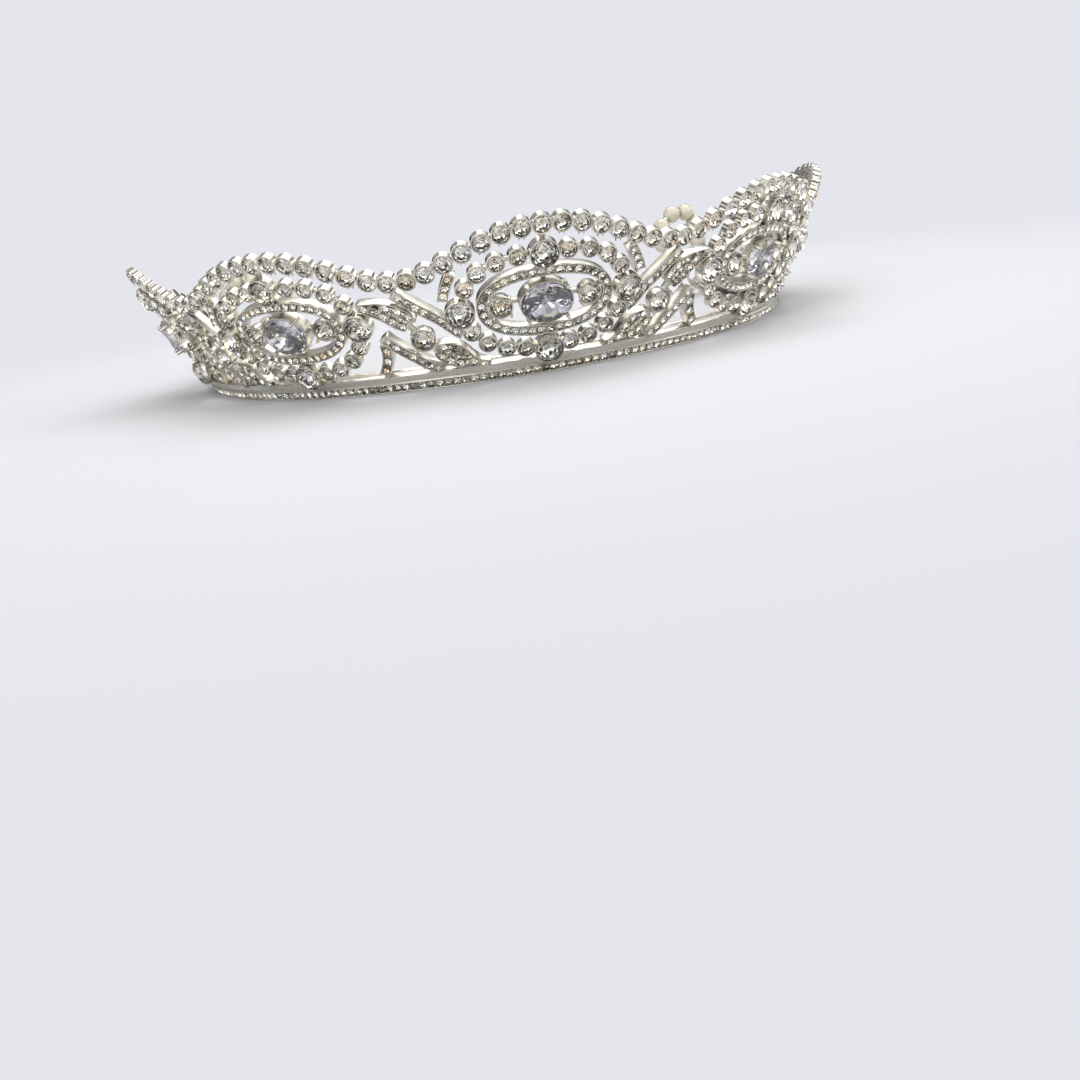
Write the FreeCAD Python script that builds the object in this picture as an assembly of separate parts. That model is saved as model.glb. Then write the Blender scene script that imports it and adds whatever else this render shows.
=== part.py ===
"""Bridal tiara: cast and soldered metalwork on a cone-shaped wall, set with stones,
with a bead loop hinged in an eye at each end of its base band.

Frame: +Z up, the front faces -Y, and the origin is the centre of the head circle on the
plane that the base band stands on. The wall is one cone, opened upwards. A place on it
is (s, h, out): s is the arc along its base circle from the middle of the front, h the
distance up its slope, and out the distance outwards from its face.
"""
import FreeCAD, Part
import math
import os

from FreeCAD import Vector

# the wall, in millimetres and degrees
BASE_RADIUS = 76.5
FLARE = 24.8
MOTIF_PITCH = 54.0
CASTING_DEPTH = 2.5
BAND_HALF_LENGTH = 150.0

# round stones by girdle diameter, and the metal round them
GARLAND_STONE = 3.5
WREATH_STONE = 3.2
ACCENT_STONE = 5.9
FLANK_STONE = 4.6
LEAF_STONE = 4.9
PAVE_STONE = 1.6
BAND_STONE = 1.8
CUP_WALL = 0.27
STONE_PLAY = 0.03
PRONG_RADIUS = 0.36
PRONG_HEIGHT = 1.75
WEB_RADIUS = 0.65
WEB_OUT = -1.75
LEAF_WEB_RADIUS = 0.8
LEAF_WEB_OUT = -1.6
GALLERY_OUT = -2.3

# the oval centre stone
OVAL_LENGTH = 11.0
OVAL_HEIGHT = 9.0
OVAL_PROUD = 0.8
OVAL_SEAT = 2.4
CLAW_RADIUS = 0.45
CLAW_AT = (3.8, 3.45)
CLAW_LENGTH = 3.4

# pave channels
CHANNEL_WIDTH = 2.3
CHANNEL_RIM = 0.28
CHANNEL_FLOOR = -0.55
PAVE_PITCH = 1.95
PAVE_END_MARGIN = 0.45

# motif layout, from its middle line
GARLAND_PITCH = 3.6
GARLAND_SIDE_CUPS = 7
GARLAND_MEAN = 31.0
GARLAND_WAVE = 4.15
GARLAND_SHARPEN = 0.4
OVAL_CENTRE = 17.5
FRAME_HALF_LENGTH = 12.5
FRAME_HALF_HEIGHT = 6.8
FRAME_POWER = 2.3
ACCENT_SIDE = 16.8
ACCENT_TOP = 28.6
ACCENT_BOTTOM = 6.2
ACCENT_PROUD = 1.0
WREATH_QUARTER = [(4.75, 10.8), (8.75, 10.1), (12.4, 8.25), (15.15, 5.15)]
FLANK_SIDE = 8.8

# base band and rails
CHAIN_HEIGHT = 2.4
CHAIN_END_MARGIN = 3.0
BAND_TOP = 4.0
STRIP_OUT = -0.3
RAIL_RADIUS = 0.4
RAIL_OUT = -2.8
RAIL_HEIGHTS = {"rail_lower": 3.0, "rail_upper": 3.85}

# bead loops
EYE_PAST_BAND = 3.2
EYE_RADIUS_FROM_AXIS = 76.0
EYE_HEIGHT = 3.2
TAB_THICKNESS = 1.2
TAB_ROUND = 1.8
LOOP_WIRE = 0.9
WIRE_PLAY = 0.08
LOOP_LEAN = 18.0
PEARL = 5.0
SPACER_RADIUS = 1.1
SPACER_THICKNESS = 0.3

MOTIFS = {-2: "outer_left", -1: "left", 0: "center", 1: "right", 2: "outer_right"}
SIN = math.sin(math.radians(FLARE))
COS = math.cos(math.radians(FLARE))


def along(s):
    angle = s / BASE_RADIUS
    return Vector(math.cos(angle), math.sin(angle), 0)


def upward(s):
    angle = s / BASE_RADIUS
    return Vector(SIN * math.sin(angle), -SIN * math.cos(angle), COS)


def outward(s):
    angle = s / BASE_RADIUS
    return Vector(COS * math.sin(angle), -COS * math.cos(angle), -SIN)


def stretch(h):
    """How much longer an arc is at height h than on the base circle."""
    return 1 + h * SIN / BASE_RADIUS


def place(s, h, out=0.0):
    angle = s / BASE_RADIUS
    radius = BASE_RADIUS + h * SIN + out * COS
    return Vector(radius * math.sin(angle), -radius * math.cos(angle), h * COS - out * SIN)


def on_wall(shape, s, h, out=0.0):
    """A shape made at the origin with +Z outwards and +Y up, moved to its place."""
    turn = FreeCAD.Rotation(along(s), upward(s), outward(s), "ZXY")
    moved = shape.copy()
    moved.Placement = FreeCAD.Placement(place(s, h, out), turn)
    return moved


def turned(profile):
    """A solid of revolution about Z from its (radius, z) corners."""
    corners = [Vector(radius, 0, z) for radius, z in profile]
    face = Part.Face(Part.makePolygon(corners + corners[:1]))
    return face.revolve(Vector(0, 0, 0), Vector(0, 0, 1), 360)


def stretched(shape, x_scale, y_scale):
    matrix = FreeCAD.Matrix()
    matrix.scale(x_scale, y_scale, 1)
    return shape.transformGeometry(matrix)


def stone(diameter, pavilion=0.275, crown=0.15):
    """A cut stone on a small flat culet at z = 0; heights are shares of its diameter."""
    radius = diameter / 2
    girdle = pavilion * diameter
    shoulder = girdle + 0.05 * diameter
    top = shoulder + crown * diameter
    return turned([(0, 0), (0.35 * radius, 0), (radius, girdle),
                   (radius, shoulder), (0.6 * radius, top), (0, top)])


def seat_depth(diameter):
    """From the rim of a cup down to the floor that its stone's culet stands on."""
    return 0.33 * diameter


def cup(diameter, depth, seat=None):
    """A round setting with a plain outer wall, its rim at z = 0."""
    inner = diameter / 2 + STONE_PLAY
    outer = inner + CUP_WALL
    floor = -(seat or seat_depth(diameter))
    return turned([(0, -depth), (0.86 * outer, -depth), (outer, -0.4), (outer, 0),
                   (inner, 0), (inner, floor), (0, floor)])


def post(radius, height, foot):
    """A round prong or claw with a blunt rounded tip, standing at foot."""
    tip = height + radius
    profile = [(0, 0), (radius, 0), (radius, height), (0.72 * radius, height + 0.72 * radius),
               (0.3 * radius, tip), (0, tip)]
    moved = turned(profile)
    moved.translate(foot)
    return moved


def prongs(diameter, rim, count=4):
    """Round prongs that stand at the rim of a cup and lean over its stone."""
    reach = diameter / 2 + STONE_PLAY + 0.3
    pieces = []
    for index in range(count):
        angle = math.pi / count + index * 2 * math.pi / count
        foot = Vector(reach * math.cos(angle), reach * math.sin(angle), rim - 1.2)
        pieces.append(post(PRONG_RADIUS, PRONG_HEIGHT, foot))
    return Part.makeCompound(pieces)


def fused(pieces):
    """The pieces as one solid, which every piece has to reach."""
    whole = pieces[0].multiFuse(pieces[1:])
    if len(whole.Solids) != 1:
        raise ValueError("a piece stands apart: %d solids" % len(whole.Solids))
    return whole.Solids[0]


def bar(start, end, radius=WEB_RADIUS):
    """A round web between two places on the wall."""
    foot = place(*start)
    span = place(*end) - foot
    return Part.makeCylinder(radius, span.Length, foot, span)


def garland_height(s):
    turn = 2 * math.pi * s / MOTIF_PITCH
    return GARLAND_MEAN + GARLAND_WAVE * math.cos(turn) - GARLAND_SHARPEN * math.cos(2 * turn)


def garland_row():
    count = GARLAND_SIDE_CUPS
    return [(GARLAND_PITCH * j, garland_height(GARLAND_PITCH * j)) for j in range(-count, count + 1)]


def end_row():
    """The last cups of the garland, from its last dip down to the band's end."""
    return [(137.0, 25.9), (140.4, 24.3), (143.3, 21.6), (145.4, 18.1),
            (146.7, 14.2), (147.3, 10.0), (147.3, 5.85)]


def wreath_row():
    """The small cups of a wreath, clockwise from the top."""
    right_top = [(s, OVAL_CENTRE + rise) for s, rise in WREATH_QUARTER]
    right_bottom = [(s, OVAL_CENTRE - rise) for s, rise in reversed(WREATH_QUARTER)]
    left_bottom = [(-s, h) for s, h in reversed(right_bottom)]
    left_top = [(-s, h) for s, h in reversed(right_top)]
    return [right_top, right_bottom, left_bottom, left_top]


def accents():
    return [(0.0, ACCENT_TOP), (ACCENT_SIDE, OVAL_CENTRE), (0.0, ACCENT_BOTTOM), (-ACCENT_SIDE, OVAL_CENTRE)]


def webs(row, out=WEB_OUT):
    return [bar((*start, out), (*end, out)) for start, end in zip(row, row[1:])]


# channels: strips and leaves with a groove for small stones

def smooth(stations):
    """A curve through (s, h, half width) stations."""
    curve = Part.BSplineCurve()
    curve.interpolate([Vector(*station) for station in stations])
    return curve


def crossing(curve, step):
    """Where a channel's line is at step, and its direction across, level with the wall."""
    centre = curve.value(step)
    run = curve.tangent(step)[0]
    level = run.x * stretch(centre.y)
    length = math.hypot(level, run.y)
    across = along(centre.x) * (-run.y / length) + upward(centre.x) * (level / length)
    return centre, across


def channel(stations, sections=9):
    """A strip along a smooth line, with a grooved face."""
    curve = smooth(stations)
    profiles = []
    for index in range(sections):
        share = index / (sections - 1)
        step = curve.FirstParameter + (curve.LastParameter - curve.FirstParameter) * share
        centre, across = crossing(curve, step)
        middle, out, half = place(centre.x, centre.y), outward(centre.x), centre.z
        inner = half - CHANNEL_RIM
        outline = [(half, -CASTING_DEPTH), (half, 0), (inner, 0), (inner, CHANNEL_FLOOR),
                   (-inner, CHANNEL_FLOOR), (-inner, 0), (-half, 0), (-half, -CASTING_DEPTH)]
        corners = [middle + across * side + out * depth for side, depth in outline]
        profiles.append(Part.makePolygon(corners + corners[:1]))
    return Part.makeLoft(profiles, True, False)


def pave_places(stations, pitch=PAVE_PITCH):
    """Places of the small stones in a channel: one row, or more where it is wider."""
    curve = smooth(stations)
    first, last = curve.FirstParameter, curve.LastParameter
    places = []
    lengths = [0.0]
    count = 60
    steps = [first + (last - first) * i / count for i in range(count + 1)]
    for before, after in zip(steps, steps[1:]):
        start, end = curve.value(before), curve.value(after)
        lengths.append(lengths[-1] + math.hypot((end.x - start.x) * stretch(start.y), end.y - start.y))
    usable = lengths[-1] - 2 * PAVE_END_MARGIN
    stones = int(usable / pitch)
    for index in range(stones):
        target = PAVE_END_MARGIN + usable * (index + 0.5) / stones
        nearest = min(range(count + 1), key=lambda i: abs(lengths[i] - target))
        step = steps[nearest]
        centre = curve.value(step)
        run = curve.tangent(step)[0]
        level = run.x * stretch(centre.y)
        length = math.hypot(level, run.y)
        width = 2 * (centre.z - CHANNEL_RIM)
        rows = max(1, int(width / (PAVE_STONE + 0.1)))
        for row in range(rows):
            side = 0 if rows == 1 else (row / (rows - 1) - 0.5) * (width - PAVE_STONE - 0.1)
            offset = side / stretch(centre.y)
            places.append((centre.x - run.y / length * offset, centre.y + level / length * side))
    return places


def strip(points, half_width=CHANNEL_WIDTH / 2):
    return [(s, h, half_width) for s, h in points]


def leaf(sides):
    """Stations of a leaf from the pairs of points on its upper and lower edges."""
    stations = []
    for (s1, h1), (s2, h2) in sides:
        middle = (h1 + h2) / 2
        half = math.hypot((s1 - s2) * stretch(middle), h1 - h2) / 2
        stations.append(((s1 + s2) / 2, middle, half))
    return stations


# outlines, with s from the middle of the motif that the connector leads to
ARCH = strip([(17.1, 26.75), (18.2, 24.5), (19.2, 22.0), (19.6, 20.6)])
RIBBON = strip([(-28.6, 23.9), (-25.8, 21.1), (-22.5, 18.0), (-20.6, 16.2), (-19.0, 14.3), (-17.0, 12.5)])
UPPER_LEAF = leaf([((-36.0, 22.6), (-36.9, 21.2)), ((-33.0, 22.7), (-33.8, 19.4)),
                   ((-30.0, 22.0), (-31.2, 17.5)), ((-27.6, 20.4), (-29.3, 15.6)),
                   ((-26.0, 17.6), (-27.6, 14.5))])
LOWER_LEAF = leaf([((-23.0, 10.5), (-23.7, 8.4)), ((-20.6, 11.1), (-21.9, 6.1)),
                   ((-18.4, 9.9), (-19.4, 4.6)), ((-15.6, 6.9), (-16.4, 4.1)),
                   ((-12.2, 5.4), (-12.4, 4.1))])
LEAF_CUP = (-25.1, 12.3)
BRACE = strip([(-33.2, 14.0), (-31.2, 11.4), (-28.0, 8.4), (-24.8, 5.6), (-22.4, 4.3)])
BRACE_STEM = strip([(-33.4, 12.4), (-33.5, 9.6), (-34.3, 7.2), (-36.0, 4.4)])
END_STRIP = strip([(126.6, 14.3), (129.5, 11.2), (133.5, 8.2), (138.5, 5.9), (144.6, 4.6)])
END_ARCH = strip([(136.4, 23.8), (133.6, 21.1), (130.3, 18.0), (128.4, 16.2)])


def frame_point(turn, grow):
    """A point of the oval frame's rounded outline, grown by grow."""
    power = 2 / FRAME_POWER
    c, s = math.cos(turn), math.sin(turn)
    x = (FRAME_HALF_LENGTH + grow / stretch(OVAL_CENTRE)) * math.copysign(abs(c) ** power, c)
    y = (FRAME_HALF_HEIGHT + grow) * math.copysign(abs(s) ** power, s)
    return x, OVAL_CENTRE + y


def oval_frame():
    """A closed ring of channel section."""
    half = CHANNEL_WIDTH / 2
    inner = half - CHANNEL_RIM
    corners = [(half, -CASTING_DEPTH), (half, 0), (inner, 0), (inner, CHANNEL_FLOOR),
               (-inner, CHANNEL_FLOOR), (-inner, 0), (-half, 0), (-half, -CASTING_DEPTH)]
    rings = []
    for grow, out in corners:
        points = [place(*frame_point(2 * math.pi * i / 40, grow), out) for i in range(40)]
        ring = Part.BSplineCurve()
        ring.interpolate(points, PeriodicFlag=True)
        rings.append(ring.toShape())
    faces = [Part.makeRuledSurface(rings[i - 1], rings[i]) for i in range(len(rings))]
    shell = Part.makeShell(faces)
    shell.sewShape()
    return Part.makeSolid(Part.Shell(shell.Faces))


def frame_stones():
    """Places of the frame's stones, at even steps along its outline."""
    count = 400
    points = [frame_point(2 * math.pi * i / count, 0) for i in range(count)]
    lengths = [0.0]
    for (s1, h1), (s2, h2) in zip(points, points[1:] + points[:1]):
        lengths.append(lengths[-1] + math.hypot((s2 - s1) * stretch(h1), h2 - h1))
    stones = int(lengths[-1] / PAVE_PITCH)
    places = []
    for index in range(stones):
        target = lengths[-1] * index / stones
        places.append(points[min(range(count), key=lambda i: abs(lengths[i] - target))])
    return places


def garland():
    shape = cup(GARLAND_STONE, CASTING_DEPTH)
    row = garland_row()
    joint = (MOTIF_PITCH - row[-1][0], row[-1][1])
    pieces = [on_wall(shape, s, h) for s, h in row]
    pieces += webs(row + [joint])
    pieces.append(bar((0, row[GARLAND_SIDE_CUPS][1], WEB_OUT), (0, ACCENT_TOP + 2.6, WEB_OUT)))
    return fused(pieces)


def wreath():
    small = cup(WREATH_STONE, CASTING_DEPTH)
    large = cup(ACCENT_STONE, CASTING_DEPTH + ACCENT_PROUD)
    quarters = wreath_row()
    big = accents()
    pieces = [on_wall(large, s, h, ACCENT_PROUD) for s, h in big]
    for index, quarter in enumerate(quarters):
        pieces += [on_wall(small, s, h) for s, h in quarter]
        pieces += webs([big[index]] + quarter + [big[(index + 1) % 4]])
    return fused(pieces)


def oval_outline(grow, height):
    """The oval stone's outline, grown by grow, as a face at a height."""
    ellipse = Part.Ellipse(Vector(0, 0, height), OVAL_LENGTH / 2 + grow, OVAL_HEIGHT / 2 + grow)
    return Part.Face(Part.Wire(ellipse.toShape()))


def oval_basket():
    """The oval stone's setting, with an upright wall and its rim at z = 0."""
    depth = CASTING_DEPTH + OVAL_PROUD
    block = oval_outline(STONE_PLAY + CUP_WALL, -depth).extrude(Vector(0, 0, depth))
    bore = oval_outline(STONE_PLAY, -OVAL_SEAT).extrude(Vector(0, 0, OVAL_SEAT + 1))
    return block.cut(bore).Solids[0]


def center_setting():
    flank = cup(FLANK_STONE, CASTING_DEPTH)
    pieces = [on_wall(oval_basket(), 0, OVAL_CENTRE, OVAL_PROUD)]
    for side in (-1, 1):
        pieces.append(on_wall(flank, side * FLANK_SIDE, OVAL_CENTRE))
        pieces += on_wall(prongs(FLANK_STONE, 0.35), side * FLANK_SIDE, OVAL_CENTRE).Solids
        hub = (0, OVAL_CENTRE, GALLERY_OUT)
        pieces.append(bar(hub, (side * FRAME_HALF_LENGTH, OVAL_CENTRE, GALLERY_OUT)))
        pieces.append(bar(hub, (0, OVAL_CENTRE + side * FRAME_HALF_HEIGHT, GALLERY_OUT)))
        for rise in (-1, 1):
            claw = post(CLAW_RADIUS, CLAW_LENGTH, Vector(0, 0, 0))
            foot = (side * CLAW_AT[0], OVAL_CENTRE + rise * CLAW_AT[1])
            pieces.append(on_wall(claw, *foot, OVAL_PROUD + 1.3 - CLAW_LENGTH))
    return fused(pieces)


def leaves():
    setting = cup(LEAF_STONE, CASTING_DEPTH)
    pieces = [channel(UPPER_LEAF), channel(LOWER_LEAF), on_wall(setting, *LEAF_CUP)]
    pieces += on_wall(prongs(LEAF_STONE, 0.35), *LEAF_CUP).Solids
    pieces.append(bar((-28.0, 16.4, LEAF_WEB_OUT), (-26.58, 14.39, LEAF_WEB_OUT), LEAF_WEB_RADIUS))
    pieces.append(bar((-23.4, 10.39, LEAF_WEB_OUT), (-21.8, 8.6, LEAF_WEB_OUT), LEAF_WEB_RADIUS))
    return fused(pieces)


def base_band():
    """Chain row and plain strip in one ring, flat underneath."""
    tip = -CASTING_DEPTH * SIN / COS
    floor = -0.8
    section = [(0, 0), (0.3, 0), (0.3, floor), (CHAIN_HEIGHT - 0.3, floor), (CHAIN_HEIGHT - 0.3, 0),
               (CHAIN_HEIGHT, 0), (CHAIN_HEIGHT, STRIP_OUT), (BAND_TOP, STRIP_OUT),
               (BAND_TOP, -CASTING_DEPTH), (tip, -CASTING_DEPTH)]
    corners = [place(-BAND_HALF_LENGTH, h, out) for h, out in section]
    face = Part.Face(Part.makePolygon(corners + corners[:1]))
    sweep = math.degrees(2 * BAND_HALF_LENGTH / BASE_RADIUS)
    return face.revolve(Vector(0, 0, 0), Vector(0, 0, 1), sweep)


def rail(height):
    start = BAND_HALF_LENGTH - 1.5
    centre = place(-start, height, RAIL_OUT)
    circle = Part.Circle(centre, along(-start), RAIL_RADIUS).toShape()
    face = Part.Face(Part.Wire(circle))
    sweep = math.degrees(2 * start / BASE_RADIUS)
    return face.revolve(Vector(0, 0, 0), Vector(0, 0, 1), sweep)


def eye_frame():
    """The placement of the right eye: X along its hole, Y backwards, Z up the loop's plane."""
    angle = (BAND_HALF_LENGTH + EYE_PAST_BAND) / BASE_RADIUS
    lean = math.radians(LOOP_LEAN)
    out = Vector(math.sin(angle), -math.cos(angle), 0)
    back = Vector(math.cos(angle), math.sin(angle), 0)
    across = out * math.cos(lean) + Vector(0, 0, math.sin(lean))
    rise = Vector(0, 0, math.cos(lean)) - out * math.sin(lean)
    turn = FreeCAD.Rotation(across, back, rise, "ZXY")
    return FreeCAD.Placement(out * EYE_RADIUS_FROM_AXIS + Vector(0, 0, EYE_HEIGHT), turn)


def end_piece():
    shape = cup(GARLAND_STONE, CASTING_DEPTH)
    row = end_row()
    last_cup = garland_row()[-1]
    dip = (2 * MOTIF_PITCH + last_cup[0], last_cup[1])
    pieces = [on_wall(shape, s, h) for s, h in row]
    pieces += webs([dip] + row + [(149.4, 3.6)])
    half = TAB_THICKNESS / 2
    reach = EYE_PAST_BAND + 4.0
    arm = Part.makeBox(TAB_THICKNESS, reach, 2 * TAB_ROUND, Vector(-half, -reach, -TAB_ROUND))
    round_end = Part.makeCylinder(TAB_ROUND, TAB_THICKNESS, Vector(-half, 0, 0), Vector(1, 0, 0))
    hole = Part.makeCylinder(LOOP_WIRE / 2 + WIRE_PLAY, 3 * TAB_THICKNESS,
                             Vector(-1.5 * TAB_THICKNESS, 0, 0), Vector(1, 0, 0))
    tab = arm.fuse(round_end).cut(hole).Solids[0]
    tab.Placement = eye_frame()
    return fused(pieces + [tab])


# bead loops, in the eye's frame: u across the loop and v up it

LOOP_SIDE = [(2.3, 0.0), (2.3, 3.3), (5.0, 8.4), (7.0, 13.7), (7.4, 19.3), (2.8, 22.6)]
LOOP_BEND = 1.2


def loop_corners():
    return [Vector(u, 0, v) for u, v in LOOP_SIDE + [(-u, v) for u, v in reversed(LOOP_SIDE)]]


def loop_path():
    """The wire's closed line: straight through the eye, then runs joined by arcs."""
    corners = loop_corners()
    start = Vector(0, 0, 0)
    here = start
    pieces = []
    for index, corner in enumerate(corners):
        before = (corner - corners[index - 1]).normalize()
        after = (corners[(index + 1) % len(corners)] - corner).normalize()
        half_turn = before.getAngle(after) / 2
        cut = LOOP_BEND * math.tan(half_turn)
        enter, leave = corner - before * cut, corner + after * cut
        inwards = (after - before).normalize()
        middle = corner + inwards * (LOOP_BEND / math.cos(half_turn) - LOOP_BEND)
        pieces.append(Part.LineSegment(here, enter).toShape())
        pieces.append(Part.Arc(enter, middle, leave).toShape())
        here = leave
    pieces.append(Part.LineSegment(here, start).toShape())
    return Part.Wire(pieces)


def loop_wire():
    circle = Part.Wire(Part.Circle(Vector(0, 0, 0), Vector(1, 0, 0), LOOP_WIRE / 2).toShape())
    return loop_path().makePipeShell([circle], True, False)


def threaded(shape, centre, run):
    """A bead on the wire, bored along the wire's run."""
    bore = Part.makeCylinder(LOOP_WIRE / 2 + 0.02, 2 * PEARL, Vector(0, 0, -PEARL))
    bead = shape.cut(bore).Solids[0]
    bead.Placement = FreeCAD.Placement(centre, FreeCAD.Rotation(Vector(0, 0, 1), run))
    return bead


def loop_beads():
    """A pearl at the middle of each run above the eye, and a spacer at each corner between."""
    corners = loop_corners()[1:-1]
    pearls, spacers = [], []
    for start, end in zip(corners, corners[1:]):
        pearls.append(threaded(Part.makeSphere(PEARL / 2), (start + end) / 2, end - start))
    for before, corner, after in zip(corners, corners[1:], corners[2:]):
        disc = Part.makeCylinder(SPACER_RADIUS, SPACER_THICKNESS, Vector(0, 0, -SPACER_THICKNESS / 2))
        inwards = ((after - corner).normalize() + (before - corner).normalize()) * 0.12
        spacers.append(threaded(disc, corner + inwards, after - before))
    return pearls, spacers


# copies round the wall

def arch_sides(motif):
    """The sides of a motif with an arch strip: away from the middle, where no leaf starts."""
    return (-1, 1) if motif == 0 else (int(math.copysign(1, motif)),)


def turned_to(shape, motif):
    """A copy of a middle motif's piece at motif -2 to 2."""
    moved = shape.copy()
    moved.rotate(Vector(0, 0, 0), Vector(0, 0, 1), math.degrees(motif * MOTIF_PITCH / BASE_RADIUS))
    return moved


def mirrored(shape):
    return shape.mirror(Vector(0, 0, 0), Vector(1, 0, 0))


def around(solids):
    """The middle motif's solids repeated on all five motifs."""
    return [turned_to(solid, motif) for motif in MOTIFS for solid in solids]


def between(solids):
    """A left inner connector's solids repeated on all four connectors."""
    left = [turned_to(solid, motif) for motif in (-1, 0) for solid in solids]
    return left + [mirrored(solid) for solid in left]


def both_sides(solids):
    return solids + [mirrored(solid) for solid in solids]


def stones_in_cups(diameter, places, out=0.0):
    cut_stone = stone(diameter)
    return [on_wall(cut_stone, s, h, out - seat_depth(diameter)) for s, h in places]


def stones_in_channel(places):
    cut_stone = stone(PAVE_STONE)
    return [on_wall(cut_stone, s, h, CHANNEL_FLOOR + 0.01) for s, h in places]


def save(name, shapes):
    whole = shapes[0] if len(shapes) == 1 else Part.makeCompound(shapes)
    whole.exportStep(os.path.join("parts", name + ".step"))


def save_motifs():
    whole = {"garland": garland(), "wreath": wreath(), "oval_frame": oval_frame(),
             "center_setting": center_setting()}
    for piece, solid in whole.items():
        for motif, name in MOTIFS.items():
            save(piece + "_" + name, [turned_to(solid, motif)])
    right = channel(ARCH)
    for motif, name in MOTIFS.items():
        strips = [right if side > 0 else mirrored(right) for side in arch_sides(motif)]
        save("arch_strips_" + name, [turned_to(strip, motif) for strip in strips])


def save_connectors():
    whole = {"leaves": [leaves()], "ribbon": [channel(RIBBON)],
             "brace": [channel(BRACE), channel(BRACE_STEM)]}
    for piece, solids in whole.items():
        for name, motif in (("left_outer", -1), ("left_inner", 0)):
            moved = [turned_to(solid, motif) for solid in solids]
            save(piece + "_" + name, moved)
            swapped = {"left_outer": "right_outer", "left_inner": "right_inner"}[name]
            save(piece + "_" + swapped, [mirrored(solid) for solid in moved])


def save_ends():
    pearls, spacers = loop_beads()
    wire = loop_wire()
    for solid in [wire] + pearls + spacers:
        solid.Placement = eye_frame().multiply(solid.Placement)
    strips = [channel(END_STRIP), channel(END_ARCH)]
    for name, solids in (("end_piece", [end_piece()]), ("end_strips", strips), ("loop_wire", [wire]),
                         ("pearls", pearls), ("spacers", spacers)):
        save(name + "_right", solids)
        save(name + "_left", [mirrored(solid) for solid in solids])


def save_stones():
    small = [spot for quarter in wreath_row() for spot in quarter]
    oval = stretched(stone(OVAL_LENGTH, 0.2, 0.09), 1, OVAL_HEIGHT / OVAL_LENGTH)
    oval = on_wall(oval, 0, OVAL_CENTRE, OVAL_PROUD - OVAL_SEAT)
    flanks = [(-FLANK_SIDE, OVAL_CENTRE), (FLANK_SIDE, OVAL_CENTRE)]
    save("oval_stones", around([oval]))
    save("flank_stones", around(stones_in_cups(FLANK_STONE, flanks)))
    save("accent_stones", around(stones_in_cups(ACCENT_STONE, accents(), ACCENT_PROUD)))
    save("garland_stones", around(stones_in_cups(GARLAND_STONE, garland_row()))
         + both_sides(stones_in_cups(GARLAND_STONE, end_row())))
    save("wreath_stones", around(stones_in_cups(WREATH_STONE, small)))
    save("connector_stones", between(stones_in_cups(LEAF_STONE, [LEAF_CUP])))
    pave = around(stones_in_channel(frame_stones()))
    for motif in MOTIFS:
        for side in arch_sides(motif):
            row = [(side * s, h) for s, h in pave_places(ARCH)]
            pave += [turned_to(solid, motif) for solid in stones_in_channel(row)]
    save("motif_pave_stones", pave)
    lines = (RIBBON, UPPER_LEAF, LOWER_LEAF, BRACE, BRACE_STEM)
    rows = [spot for line in lines for spot in pave_places(line)]
    ends = pave_places(END_STRIP) + pave_places(END_ARCH)
    save("connector_pave_stones", between(stones_in_channel(rows)) + both_sides(stones_in_channel(ends)))
    count = int(2 * (BAND_HALF_LENGTH - CHAIN_END_MARGIN) / PAVE_PITCH)
    chain = [((index - (count - 1) / 2) * PAVE_PITCH, CHAIN_HEIGHT / 2) for index in range(count)]
    cut_stone = stone(BAND_STONE)
    save("band_stones", [on_wall(cut_stone, s, h, -0.79) for s, h in chain])


def main():
    os.makedirs("parts", exist_ok=True)
    save_motifs()
    save_connectors()
    save("base_band", [base_band()])
    for name, height in RAIL_HEIGHTS.items():
        save(name, [rail(height)])
    save_ends()
    save_stones()


main()
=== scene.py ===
import math
import random

import bpy
from mathutils import Matrix, Vector
from mathutils.bvhtree import BVHTree


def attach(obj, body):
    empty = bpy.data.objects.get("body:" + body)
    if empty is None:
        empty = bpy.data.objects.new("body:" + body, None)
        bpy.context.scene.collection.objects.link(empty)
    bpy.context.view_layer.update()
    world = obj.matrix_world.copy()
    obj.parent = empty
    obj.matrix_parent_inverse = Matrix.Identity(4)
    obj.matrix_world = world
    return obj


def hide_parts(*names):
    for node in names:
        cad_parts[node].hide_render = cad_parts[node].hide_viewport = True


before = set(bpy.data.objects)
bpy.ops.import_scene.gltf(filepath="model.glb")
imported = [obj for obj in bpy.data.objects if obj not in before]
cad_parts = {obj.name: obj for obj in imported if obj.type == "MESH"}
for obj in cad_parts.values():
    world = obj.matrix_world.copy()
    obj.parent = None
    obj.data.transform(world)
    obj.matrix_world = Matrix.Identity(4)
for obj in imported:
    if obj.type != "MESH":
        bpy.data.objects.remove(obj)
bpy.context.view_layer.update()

mm = 0.001
print("frame loaded with", len(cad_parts), "CAD nodes")

# the wall is one cone: a place on it is (arc, rise, out)
wall = {"baseRadius": 76.5 * mm, "flare": math.radians(24.8), "motifPitch": 54.0 * mm}
motifNames = {-2: "outer_left", -1: "left", 0: "center", 1: "right", 2: "outer_right"}
connectorNames = ["left_outer", "left_inner", "right_inner", "right_outer"]


def wallDirections(arc):
    angle = arc / wall["baseRadius"]
    tilt = wall["flare"]
    along = Vector((math.cos(angle), math.sin(angle), 0))
    outwards = Vector((math.cos(tilt) * math.sin(angle), -math.cos(tilt) * math.cos(angle), -math.sin(tilt)))
    return along, outwards.cross(along), outwards


def wallReading(point):
    tilt = wall["flare"]
    arc = math.atan2(point.x, -point.y) * wall["baseRadius"]
    spread = math.hypot(point.x, point.y) - wall["baseRadius"]
    rise = spread * math.sin(tilt) + point.z * math.cos(tilt)
    out = spread * math.cos(tilt) - point.z * math.sin(tilt)
    return arc, rise, out


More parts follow.
